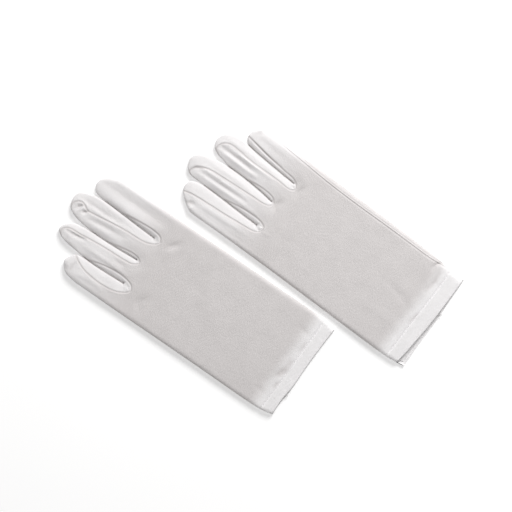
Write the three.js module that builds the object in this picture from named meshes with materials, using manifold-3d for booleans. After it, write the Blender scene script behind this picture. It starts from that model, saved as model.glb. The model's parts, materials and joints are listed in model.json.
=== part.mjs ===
// A pair of short white dress gloves in stretch knit, laid side by side, palm down, with the thumbs folded
// under the palms. Each glove is a folded trank (its back half and its palm half), three fourchettes that
// line the sides of the fingers, a set-in thumb, a turned hem and its sewing threads.
// Millimetres, +Z up, +Y towards the fingertips, origin on the table under the middle of the pair.
import * as THREE from "three";
import { mergeVertices } from "three/addons/utils/BufferGeometryUtils.js";
import Module from "manifold-3d";

// Cloth and loft
const CLOTH = 0.7; // one ply of the knit
const PLY = 0.5; // the turned-in ply of the hem
const GAP = 0.3; // clearance between pieces that touch
const HEIGHT = 7.6; // table to the top of the lofted back
const SEAM_LEVEL = 3.6; // height of the side folds, where back and palm meet
const EDGE_ROUND = 7; // distance in from an edge at which the cloth is fully lofted
const FOURCHETTE_DROP = 0.3; // share of the full edge curve left where a fourchette holds the plies apart

// Fingers
const TIP_LENGTH = 12; // length of a rounded fingertip
const TIP_CUT = 0.985; // the end facet stops this share of the way up the rounding
const FOLD_GAP = 0.4; // between the hand and a finger at the fold line

// Crotches between the fingers
const SLOT_WIDTH = 4.4;
const BASE_WALL = 1.3;
const BASE_LOW = 1.0;
const BASE_HIGH = 6.6;

// Thumb, measured in its own frame along its length
const THUMB = { length: 74, baseWidth: 23, endWidth: 18.5, tipLength: 11, ply: 0.6, top: 2.2, rest: 2.6 };
const THUMB_HOLE = { along: 21, halfLength: 16, halfWidth: 6.5 };
const THUMB_MARGIN = 3.5; // the palm stays raised this far beyond the thumb
const THUMB_FALL = 7; // and falls back to the table over this distance

// Hem and threads
const HEM_DEPTH = 10.5;
const STITCH_LINE = 9.8;
const THREAD = 0.5;
const SEAM_THREAD_INSET = 1.9;
const TAIL_RADIUS = 0.45;
const TAIL_LENGTH = 3;

const KNIT = { color: 0xd4d0ce, roughness: 0.82, metalness: 0 };
const SEWING = { color: 0xe9e7e5, roughness: 0.6, metalness: 0 };

// Each glove in its own frame: x across, seen from above, and y from the cuff to the fingertips.
// outline: [y, left edge, right edge]. Fingers, left to right: [centre, width] at the fold and at the tip.
const LEFT = {
  side: "left",
  place: [0, 0],
  fold: 156,
  outline: [[0, -40, 40], [18, -42.7, 42.3], [70, -43.5, 41.6], [145, -45, 40], [156, -45, 39.7]],
  fingers: [
    { name: "little", base: [-34.85, 20.3], end: [-35.6, 18.8], tip: 199 },
    { name: "ring", base: [-14.0, 20.2], end: [-16.0, 16.6], tip: 216.5 },
    { name: "middle", base: [7.05, 20.7], end: [6.65, 23.1], tip: 221.5 },
    { name: "index", base: [28.85, 21.7], end: [29.25, 19.3], tip: 213 },
  ],
  crotches: [144, 151, 147],
  backCuff: [1.4, -0.8],
  palmCuff: [1.2, -0.6],
  thumb: { base: [25, 66], tilt: 9 },
  tail: -22,
};
const RIGHT = {
  side: "right",
  place: [85.3, -60.3],
  fold: 159,
  outline: [[0, -37, 43], [20, -38.7, 45.5], [60, -38, 47], [130, -36.3, 48.7], [159, -36, 49.2]],
  fingers: [
    { name: "index", base: [-25.05, 21.9], end: [-24.6, 22.8], tip: 217.7 },
    { name: "middle", base: [-2.95, 21.1], end: [-2.05, 20.7], tip: 226.5 },
    { name: "ring", base: [18.4, 20.4], end: [21.8, 20.8], tip: 218 },
    { name: "little", base: [39.25, 19.9], end: [40.4, 17.2], tip: 200 },
  ],
  crotches: [149.5, 154, 146],
  backCuff: [6.5, 2.2],
  palmCuff: [0.4, 0.6],
  thumb: { base: [-21, 69], tilt: -9 },
  tail: 11.5,
};

const { lerp, smoothstep, clamp, degToRad } = THREE.MathUtils;

// Share of the full loft at a distance in from an edge: a quarter circle, then level.
function rise(distance, round = EDGE_ROUND) {
  const t = clamp(distance / round, 0, 1);
  return Math.sqrt(1 - (1 - t) ** 2);
}

// The glove's left and right edges at a height y, straight between the outline's stations.
function edgesAt(glove, y) {
  const stations = glove.outline;
  let i = 1;
  while (i < stations.length - 1 && stations[i][0] < y) i += 1;
  const [y0, left0, right0] = stations[i - 1];
  const [y1, left1, right1] = stations[i];
  const t = (y - y0) / (y1 - y0);
  return [lerp(left0, left1, t), lerp(right0, right1, t)];
}

// A finger's left and right edges at y: a straight taper, then an elliptical tip.
function fingerEdges(glove, finger, y) {
  const roundFrom = finger.tip - TIP_LENGTH;
  const t = clamp((y - glove.fold) / (roundFrom - glove.fold), 0, 1);
  const centre = lerp(finger.base[0], finger.end[0], t);
  const past = clamp((y - roundFrom) / TIP_LENGTH, 0, 1);
  const half = (lerp(finger.base[1], finger.end[1], t) / 2) * Math.sqrt(1 - past ** 2);
  return [centre - half, centre + half];
}

// How far the palm is raised by the folded thumb under it, at a point of the glove's own frame.
function thumbLift(glove, x, y) {
  const { base, tilt } = glove.thumb;
  const angle = degToRad(tilt);
  const dx = x - base[0];
  const dy = y - base[1];
  const along = clamp(dy * Math.cos(angle) - dx * Math.sin(angle), 0, THUMB.length - THUMB.endWidth / 2);
  const off = Math.hypot(dx + along * Math.sin(angle), dy - along * Math.cos(angle));
  const beyond = off - THUMB.baseWidth / 2 - THUMB_MARGIN;
  return THUMB.rest * (1 - smoothstep(beyond, 0, THUMB_FALL));
}

// A closed sheet: a box of one layer, each of whose points is carried by place(u, v, top).
function sheet(columns, rows, place) {
  const geometry = new THREE.BoxGeometry(1, 1, 1, columns, rows, 1);
  const points = geometry.getAttribute("position");
  for (let i = 0; i < points.count; i += 1) {
    points.setXYZ(i, ...place(points.getX(i) + 0.5, points.getY(i) + 0.5, points.getZ(i) > 0));
  }
  geometry.computeVertexNormals();
  return geometry;
}

// Upper surface of the back, and lower surface of the palm, at a distance in from the side edge.
const backTop = (distance, drop = 1) => HEIGHT - (HEIGHT - SEAM_LEVEL) * drop * (1 - rise(distance));
const palmUnder = (distance, drop = 1) => SEAM_LEVEL * drop * (1 - rise(distance));

// Lower and upper surface of the cloth of the back, and of the palm, thinned where the two meet.
function backPlies(distance, drop) {
  const high = Math.max(backTop(distance, drop), SEAM_LEVEL + (GAP + CLOTH) / 2);
  return [Math.max(high - CLOTH, SEAM_LEVEL + GAP / 2), high];
}

function palmPlies(distance, drop, lift = 0) {
  const low = Math.min(Math.max(palmUnder(distance, drop), lift), SEAM_LEVEL - (GAP + CLOTH) / 2);
  return [low, Math.min(low + CLOTH, SEAM_LEVEL - GAP / 2)];
}

// ---- Boolean cuts ----
const wasm = await Module();
wasm.setup();

function solid(geometry) {
  const bare = geometry.index ? geometry.toNonIndexed() : geometry.clone();
  bare.deleteAttribute("normal");
  bare.deleteAttribute("uv");
  const merged = mergeVertices(bare, 1e-3);
  return new wasm.Manifold(
    new wasm.Mesh({
      numProp: 3,
      vertProperties: new Float32Array(merged.getAttribute("position").array),
      triVerts: new Uint32Array(merged.index.array),
    }),
  );
}

function cut(geometry, tools) {
  const left = tools.reduce((body, tool) => body.subtract(solid(tool)), solid(geometry));
  const mesh = left.getMesh();
  const made = new THREE.BufferGeometry();
  made.setAttribute("position", new THREE.BufferAttribute(mesh.vertProperties, 3));
  made.setIndex(new THREE.BufferAttribute(mesh.triVerts, 1));
  made.computeVertexNormals();
  return made;
}

function piece(name, geometry, look = KNIT) {
  const mesh = new THREE.Mesh(geometry, new THREE.MeshStandardMaterial(look));
  mesh.name = name;
  return mesh;
}

// ---- Hand of the glove: the trank's two halves as far as the fold line ----
const HAND_COLUMNS = 14;
const HAND_ROWS = 16;

function handSheet(glove, cuff, surfaces) {
  return sheet(HAND_COLUMNS, HAND_ROWS, (u, v, top) => {
    const across = fromEdges(u);
    const y = lerp(lerp(...cuff, across), glove.fold, v);
    const [left, right] = edgesAt(glove, y);
    const x = lerp(left, right, across);
    const [low, high] = surfaces(x, y, Math.min(x - left, right - x));
    return [x, y, top ? high : low];
  });
}

// Columns crowd towards the two edges, where the cloth curves.
function fromEdges(u) {
  return (1 - Math.cos(Math.PI * u)) / 4 + u / 2;
}

function backSurfaces(x, y, distance) {
  return backPlies(distance, 1);
}

function palmSurfaces(glove) {
  return (x, y, distance) => palmPlies(distance, 1, thumbLift(glove, x, y));
}

function gapCentre(glove, i) {
  const right = fingerEdges(glove, glove.fingers[i], glove.fold)[1];
  const left = fingerEdges(glove, glove.fingers[i + 1], glove.fold)[0];
  return (left + right) / 2;
}

// A slot with a round end at its foot, open at its top.
function slotShape(width, height) {
  const r = width / 2;
  const shape = new THREE.Shape();
  shape.moveTo(-r, height);
  shape.lineTo(-r, r);
  shape.absarc(0, r, r, Math.PI, 2 * Math.PI, false);
  shape.lineTo(r, height);
  shape.closePath();
  return shape;
}

function extruded(shape, low, high, x, y) {
  const geometry = new THREE.ExtrudeGeometry(shape, { depth: high - low, bevelEnabled: false, curveSegments: 6 });
  geometry.translate(x, y, low);
  return geometry;
}

function crotchSlots(glove) {
  return glove.crotches.map((crotch, i) => {
    const shape = slotShape(SLOT_WIDTH, glove.fold - crotch + 2);
    return extruded(shape, -1, HEIGHT + 1, gapCentre(glove, i), crotch);
  });
}

// The oval where the thumb is set into the palm, in the thumb's frame.
function thumbOval() {
  const shape = new THREE.Shape();
  const { along, halfLength, halfWidth } = THUMB_HOLE;
  shape.absellipse(0, along, halfWidth, halfLength, 0, 2 * Math.PI, false, 0);
  return new THREE.ExtrudeGeometry(shape, { depth: HEIGHT + 2, bevelEnabled: false, curveSegments: 8 });
}

function thumbHoleInHand(glove) {
  const geometry = thumbOval();
  geometry.rotateZ(degToRad(glove.thumb.tilt));
  geometry.translate(...glove.thumb.base, -1);
  return geometry;
}

// Fourchette where it turns round the crotch: a U wall standing in the slot.
function fourchetteBase(glove, i) {
  const outer = SLOT_WIDTH - 2 * GAP;
  const height = glove.fold - glove.crotches[i] - FOLD_GAP;
  const shape = slotShape(outer, height);
  const gap = outer / 2 - BASE_WALL;
  const wall = cut(extruded(shape, BASE_LOW, BASE_HIGH, 0, 0), [
    extruded(slotShape(2 * gap, height + 1), BASE_LOW - 1, BASE_HIGH + 1, 0, BASE_WALL),
  ]);
  wall.translate(gapCentre(glove, i), glove.crotches[i] + GAP, 0);
  return wall;
}

// A strip across the hand from its second column to its last but one, so that it follows the same facets.
function strip(glove, rows, heights, place) {
  return sheet(HAND_COLUMNS - 2, rows, (u, v, top) => {
    const across = fromEdges(lerp(1 / HAND_COLUMNS, 1 - 1 / HAND_COLUMNS, u));
    const y = place(across, v);
    const [left, right] = edgesAt(glove, y);
    const x = lerp(left, right, across);
    const [low, high] = heights(Math.min(x - left, right - x));
    return [x, y, top ? high : low];
  });
}

function hemPly(glove, cuff, heights) {
  return strip(glove, 2, heights, (across, v) => lerp(...cuff, across) + lerp(PLY, HEM_DEPTH, v));
}

function backPly(distance) {
  const high = backTop(distance) - CLOTH - GAP;
  return [high - PLY, high];
}

function palmPly(distance) {
  const low = palmUnder(distance) + CLOTH + GAP;
  return [low, low + PLY];
}

// The hem's line of stitches, lying on the back.
function hemThread(glove) {
  const onBack = (distance) => [backTop(distance) + GAP, backTop(distance) + GAP + THREAD];
  return strip(glove, 1, onBack, (across, v) => lerp(...glove.backCuff, across) + STITCH_LINE + v * THREAD);
}

// The thread of the side seam, inside the fold on the little finger's side.
function sideSeamThread(glove) {
  const outer = glove.side === "left" ? 0 : 1;
  const inward = outer === 0 ? 1 : -1;
  const stations = glove.outline.map(([y]) => clamp(y, HEM_DEPTH + 2, glove.fold - 1));
  const path = new THREE.CatmullRomCurve3(
    stations.map((y) => new THREE.Vector3(edgesAt(glove, y)[outer] + inward * SEAM_THREAD_INSET, y, SEAM_LEVEL)),
  );
  const section = new THREE.Shape().absarc(0, 0, THREAD, 0, 2 * Math.PI, false);
  return new THREE.ExtrudeGeometry(section, { extrudePath: path, steps: 10, curveSegments: 3 });
}

function threadTail(glove) {
  const geometry = new THREE.CylinderGeometry(TAIL_RADIUS, TAIL_RADIUS, TAIL_LENGTH, 8);
  const height = CLOTH + PLY + 2 * GAP + TAIL_RADIUS + GAP;
  geometry.translate(glove.tail, TAIL_LENGTH / 2 - 1.2, height);
  return geometry;
}

function hand(glove) {
  const name = (part) => `${glove.side}_${part}`;
  const slots = crotchSlots(glove);
  const back = cut(handSheet(glove, glove.backCuff, backSurfaces), slots);
  const palm = cut(handSheet(glove, glove.palmCuff, palmSurfaces(glove)), [...slots, thumbHoleInHand(glove)]);
  const group = new THREE.Group();
  group.add(piece(name("trank_back"), back));
  group.add(piece(name("trank_palm"), palm));
  glove.crotches.forEach((_, i) => {
    const pair = [glove.fingers[i].name, glove.fingers[i + 1].name].join("_");
    group.add(piece(name(`fourchette_${pair}`), fourchetteBase(glove, i)));
  });
  group.add(piece(name("hem_back_ply"), hemPly(glove, glove.backCuff, backPly)));
  group.add(piece(name("hem_palm_ply"), hemPly(glove, glove.palmCuff, palmPly)));
  group.add(piece(name("hem_thread"), hemThread(glove), SEWING));
  group.add(piece(name("side_seam_thread"), sideSeamThread(glove), SEWING));
  group.add(piece(name("thread_tail"), threadTail(glove), SEWING));
  return group;
}

// ---- Fingers: the trank's fingers above the fold line, and the fourchettes' prongs ----
const FINGER_COLUMNS = 6;
const FINGER_ROWS = 8;

// Rows crowd towards the rounded tip.
function fingerRow(glove, finger, v) {
  const first = glove.fold + FOLD_GAP;
  const last = finger.tip - TIP_LENGTH * (1 - TIP_CUT);
  return lerp(first, last, Math.sin((Math.PI / 2) * v) * 0.5 + v * 0.5);
}

// How much of the full edge curve shows at each side: all of it on an outer edge and at the tip.
function edgeDrop(glove, finger, u, y) {
  const i = glove.fingers.indexOf(finger);
  const leftDrop = i === 0 ? 1 : FOURCHETTE_DROP;
  const rightDrop = i === glove.fingers.length - 1 ? 1 : FOURCHETTE_DROP;
  return lerp(lerp(leftDrop, rightDrop, u), 1, smoothstep(y, finger.tip - TIP_LENGTH, finger.tip));
}

function fingerSheet(glove, finger, surfaces) {
  return sheet(FINGER_COLUMNS, FINGER_ROWS, (u, v, top) => {
    const y = fingerRow(glove, finger, v);
    const [left, right] = fingerEdges(glove, finger, y);
    const x = lerp(left, right, fromEdges(u));
    const distance = Math.min(x - left, right - x, finger.tip - y);
    const [low, high] = surfaces(distance, edgeDrop(glove, finger, u, y));
    return [x, y, top ? high : low];
  });
}

// A fourchette's prong: a wall on one side of a finger, between its back and its palm.
function prong(glove, finger, side) {
  const low = palmUnder(0, FOURCHETTE_DROP) + CLOTH + GAP;
  const high = backTop(0, FOURCHETTE_DROP) - CLOTH - GAP;
  const end = finger.tip - TIP_LENGTH - 1;
  return sheet(1, 6, (u, v, top) => {
    const y = lerp(glove.fold + FOLD_GAP, end, v);
    const edges = fingerEdges(glove, finger, y);
    const x = side === 0 ? edges[0] + u * CLOTH : edges[1] - (1 - u) * CLOTH;
    return [x, y, top ? high : low];
  });
}

function fingerPieces(glove, finger) {
  const name = (part) => `${glove.side}_${finger.name}_${part}`;
  const i = glove.fingers.indexOf(finger);
  const group = new THREE.Group();
  group.add(piece(name("back"), fingerSheet(glove, finger, backPlies)));
  group.add(piece(name("palm"), fingerSheet(glove, finger, palmPlies)));
  [i - 1, i + 1].forEach((j, side) => {
    const next = glove.fingers[j];
    if (next) group.add(piece(name(`prong_by_${next.name}`), prong(glove, finger, side)));
  });
  return group;
}

// ---- Thumb: two plies, folded flat under the palm ----
const THUMB_COLUMNS = 6;
const THUMB_ROWS = 8;

function thumbSheet(low, high, curl) {
  return sheet(THUMB_COLUMNS, THUMB_ROWS, (u, v, top) => {
    const t = Math.sin((Math.PI / 2) * v) * 0.5 + v * 0.5;
    const y = THUMB.length * t * TIP_CUT;
    const past = clamp((y - THUMB.length + THUMB.tipLength) / THUMB.tipLength, 0, 1);
    const half = (lerp(THUMB.baseWidth, THUMB.endWidth, t) / 2) * Math.sqrt(1 - past ** 2);
    const x = lerp(-half, half, fromEdges(u));
    const bend = curl * (1 - rise(Math.min(half - Math.abs(x), THUMB.length - y), 2.5));
    return [x, y, (top ? high : low) + bend];
  });
}

function thumb(glove) {
  const { ply, top } = THUMB;
  const meet = (top - 2 * ply - GAP) / 2; // how far each ply curls to meet the other at the edge
  const under = thumbSheet(0, ply, meet);
  const over = cut(thumbSheet(top - ply, top, -meet), [thumbOval().translate(0, 0, -1)]);
  const group = new THREE.Group();
  group.add(piece(`${glove.side}_thumb_under`, under));
  group.add(piece(`${glove.side}_thumb_over`, over));
  group.rotation.z = degToRad(glove.thumb.tilt);
  group.position.set(...glove.thumb.base, 0);
  return group;
}

function buildGlove(glove) {
  const group = new THREE.Group();
  group.add(hand(glove));
  glove.fingers.forEach((finger) => group.add(fingerPieces(glove, finger)));
  group.add(thumb(glove));
  group.position.set(...glove.place, 0);
  return group;
}

const pair = new THREE.Group();
pair.add(buildGlove(LEFT), buildGlove(RIGHT));
const box = new THREE.Box3().setFromObject(pair, true);
const middle = box.getCenter(new THREE.Vector3());
pair.position.set(-middle.x, -middle.y, -box.min.z);

const gloves = new THREE.Group();
gloves.add(pair);
export default gloves;
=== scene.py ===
"""A pair of short white dress gloves in stretch knit, lying side by side, palm down.

Each glove is one surface: a back and a palm that meet at the outline, worked out on a fine triangulation
of the glove seen from above. That surface is then cut along its seams and its fold line into the real
pieces, and each piece is given the thickness of its cloth. Shapes are in millimetres in the glove's own
frame (x across, y from the cuff to the fingertips) and become metres in the row frame at the end.
"""

import json
import math

import bpy
import numpy as np
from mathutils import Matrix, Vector, noise
from mathutils.geometry import delaunay_2d_cdt


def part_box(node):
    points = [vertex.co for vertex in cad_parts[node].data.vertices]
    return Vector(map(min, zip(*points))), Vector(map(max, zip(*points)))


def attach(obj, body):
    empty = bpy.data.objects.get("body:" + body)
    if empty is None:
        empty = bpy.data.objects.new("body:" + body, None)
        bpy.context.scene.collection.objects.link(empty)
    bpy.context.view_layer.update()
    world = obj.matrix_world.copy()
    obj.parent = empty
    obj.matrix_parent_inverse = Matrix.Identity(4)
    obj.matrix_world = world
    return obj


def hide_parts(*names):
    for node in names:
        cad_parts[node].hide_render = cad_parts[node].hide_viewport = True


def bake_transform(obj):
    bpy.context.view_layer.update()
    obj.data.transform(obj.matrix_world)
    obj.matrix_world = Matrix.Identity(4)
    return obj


MM = 0.001

# Cloth and heights above the table, in millimetres
CLOTH = 0.55
SCRAP = 0.01
HEM_PLY = (0.62, 1.1)  # depth of the turned-in ply's two faces below the outer face
HAND_TOP = 4.9
FINGER_TOP = 5.4
CUFF_TOP = 4.5
HAND_EDGE = 1.9  # height of the outline, where back and palm meet
FINGER_EDGE = 2.2
SLIT_EDGE = 1.35
SLIT = 0.2  # gap between neighbouring fingers
PALM_REST = 0.15
PALM_SEAM = 0.4  # depth of the palm's seam grooves

# How far in from the outline the back reaches its full height, and the palm comes down to the table
HAND_ROUND = 2.2
FINGER_ROUND = 2.4
SIDE_ROLL = 5.5  # along the side seam, where the cloth rolls over more gently
FOURCHETTE_ROUND = 9.5
FOURCHETTE_DIVE = 1.2  # beside the slit, where the fourchette turns down into it
DIVE_SHARE = 0.55  # how much of its height it loses there
PALM_ROUND = 2.6
FAR_INSIDE = 9.0  # a share of the rounding that stands for far from any edge
BACK_CURVE = 1.9  # the rounding's power: 2 is a quarter circle, and less is flatter
FOURCHETTE_CURVE = 1.3
CUFF_THICK = (0.5, 1.3)  # from the cuff's fold, where cloth and ply are one, to where the cloth is single
HEM_CLEAR = (1.25, 1.4)  # the turned-in ply stops this far from the cuff's fold and from the sides

# Where along the glove (y) the cuff's measures give way to the hand's, and the hand's to the fingers'
CUFF_TO_HAND = (0, 30)
TO_FINGER_TOP = (138, 170)
TO_FINGER_EDGE = (140, 170)
TO_FINGER_ROUND = (140, 175)

# The outline is pulled down beside a slit: how far to its sides, and how far along it, this fades
SLIT_SIDES = (0.5, 3)
SLIT_FADE = (38, 52)

# Triangulation, in millimetres
STEP = 0.9
GRID = 1.55
EDGE_ROWS = (0.12, 0.45, 1.0)
SEAM_ROWS = (0.4, 0.85, 1.35, 2.0)

# Each slit runs from the crotch to where the two fingers part. A finger's tip runs from the slit on its
# left to the one on its right, and the outer fingers' tips take in the hand's sides down to the cuff. A
# seam runs down one finger, round the crotch and up the next. Folds are (line, width, height), and pinches
# are (x, y, radius, height). side_seam is None where the seam lies under the glove. tail is where the
# thread's tail leaves the cuff.
LEFT = {
    "side": "left",
    "fold": 156.0,
    "edge_x": -45.0,
    "fingers": ("little", "ring", "middle", "index"),
    "slits": (
        ((-24.3, 152), (-24.7, 160), (-25.3, 170), (-25.7, 180), (-25.7, 189)),
        ((-3.8, 154.4), (-4.1, 160), (-5, 170), (-5.8, 185), (-6.1, 196)),
        ((17.5, 152.8), (17.8, 160), (18.2, 171), (18.7, 185), (18.9, 200)),
    ),
    "tips": (
        ((-40, 0.6), (-41.8, 8), (-42.7, 18), (-43.5, 70), (-44.2, 110), (-45, 148), (-45.2, 172),
         (-45.2, 184), (-43.6, 192.6), (-40.4, 196.6), (-36, 199.2), (-31, 197.4), (-27.4, 194.4)),
        ((-25.2, 196), (-24.3, 205), (-22.6, 212), (-19, 216.5), (-14.5, 215.6), (-10.5, 212.3),
         (-8.3, 208), (-7.1, 202)),
        ((-5.5, 205), (-3.8, 213), (-0.8, 218.4), (3.5, 220.8), (8, 221.5), (13, 219.7), (16, 214.8),
         (17.9, 208.5)),
        ((19.2, 205.5), (20.4, 209.8), (23.3, 212.1), (27, 213.1), (31.4, 212), (36, 206.8), (39, 200),
         (40, 190), (40, 165), (40, 140), (41, 100), (41.7, 60), (42.3, 20), (42, 9), (40, -0.8)),
    ),
    "cuff": ((40, -0.8), (30, -0.3), (8, 0.2), (-18, -0.1), (-32, 0.9), (-40, 0.6)),
    "back_cuff": ((-46, 2.4), (-38, 1.6), (-28, 1.7), (-12, 0.6), (8, 0.9), (30, 0.4), (46, -0.3)),
    "hem_line": ((-46, 11.6), (-38, 11), (-12, 10.2), (8, 10.3), (30, 10), (46, 9.6)),
    "seams": (
        ((-27.4, 194.6), (-30.2, 190.5), (-33.6, 182), (-34.8, 171), (-34.5, 161), (-33, 153.5),
         (-29.6, 147), (-25.8, 143.9), (-22.2, 146.2), (-20.4, 152), (-20, 160), (-21, 168), (-23, 177),
         (-25.3, 184)),
        ((-22.6, 212), (-19.6, 214.3), (-16, 213.2), (-13.7, 209.5), (-13, 201), (-11.6, 190), (-10.6, 180),
         (-10, 170), (-9.5, 161), (-8.1, 154.3), (-4.7, 151), (-2.2, 153.2), (-1.4, 159), (-2.5, 167),
         (-5.3, 179)),
        ((-0.8, 218.4), (2.4, 219.2), (6, 217.2), (8, 213.8), (7, 210), (5.2, 206.5), (5.6, 201),
         (6.6, 194), (8, 185), (9.3, 175), (9.9, 165), (10.6, 157.5), (13, 150.8), (17.2, 147),
         (20.8, 149.6), (22, 156), (21.6, 165), (20.6, 174), (19.1, 183)),
    ),
    "side_seam": None,
    "folds": (
        # little finger
        (((-40, 188), (-37.5, 178), (-38, 160)), 1.8, 0.48),
        (((-43.5, 190), (-38, 191.5), (-33, 190.5)), 1.2, -0.8),
        (((-41.5, 193), (-38.6, 195.5)), 0.8, -0.96),
        # ring finger
        (((-18.6, 192), (-17.9, 172), (-17.6, 152)), 1.3, 0.64),
        (((-16.3, 211), (-15.6, 203), (-14.2, 195)), 1.0, -1.28),
        (((-23, 207), (-20.5, 207.2)), 0.9, -0.64),
        (((-13.6, 168), (-13, 158)), 1.0, -0.56),
        # middle finger
        (((2.2, 214.4), (4.5, 213.4), (6, 212.2)), 0.9, -1.6),
        (((1.6, 209.5), (2.8, 207.8), (4.3, 206)), 0.9, -1.76),
        (((0.4, 211.5), (3, 210.9), (5.2, 210)), 0.8, 0.8),
        (((0.6, 202), (2.6, 190), (4.4, 172)), 1.5, -0.88),
        (((-2.4, 206), (-1.6, 190), (-0.6, 172)), 1.5, 0.48),
        (((8.6, 206), (8.9, 195)), 0.8, 0.48),
        (((11, 216), (10.8, 204), (11.6, 182)), 1.3, -0.72),
        (((16, 214), (16.4, 200), (15.6, 172)), 1.2, 0.48),
        # index finger
        (((21.8, 208), (21.6, 190), (21.8, 172), (23.4, 154)), 4.3, 1.25),
        (((30.2, 208), (30.2, 185), (30.6, 156)), 2.6, -0.5),
        (((36.4, 203), (37, 180), (37.4, 150)), 1.8, 0.45),
        # crotches
        (((-26.6, 146), (-25.2, 151.5)), 0.7, 0.55),
        # hand
        (((17, 140), (21.5, 136.8), (25.5, 134)), 2.4, -1.0),
        (((-35, 131.5), (-29, 133.6), (-23, 131)), 2.8, -0.85),
        (((-13.5, 15.4), (-9, 13.4), (-4, 12.4)), 2.1, -0.9),
        (((-3, 12.8), (3, 12.6)), 1.4, -0.7),
        (((-24, 12.5), (-17, 11.8)), 1.3, -0.5),
        (((10, 12.4), (20, 11.9)), 1.2, -0.45),
        (((-30, 16), (-29, 24)), 1.8, -0.25),
        (((26, 14), (27, 24)), 2.0, -0.25),
        (((-30, 30), (-10, 44), (20, 50)), 7.0, 0.3),
        (((-20, 95), (5, 104), (30, 100)), 8.0, -0.25),
        (((-34, 66), (-8, 74), (24, 80)), 8.0, 0.25),
    ),
    "pinches": (
        (16.6, 150.4, 0.9, -1.1), (-4.0, 153.1, 0.7, -0.7), (-24.8, 148.2, 1.3, -0.5),
    ),
    "thumb": {"base": (25, 66), "tilt": 9},
    "tail": -22,
}
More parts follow.
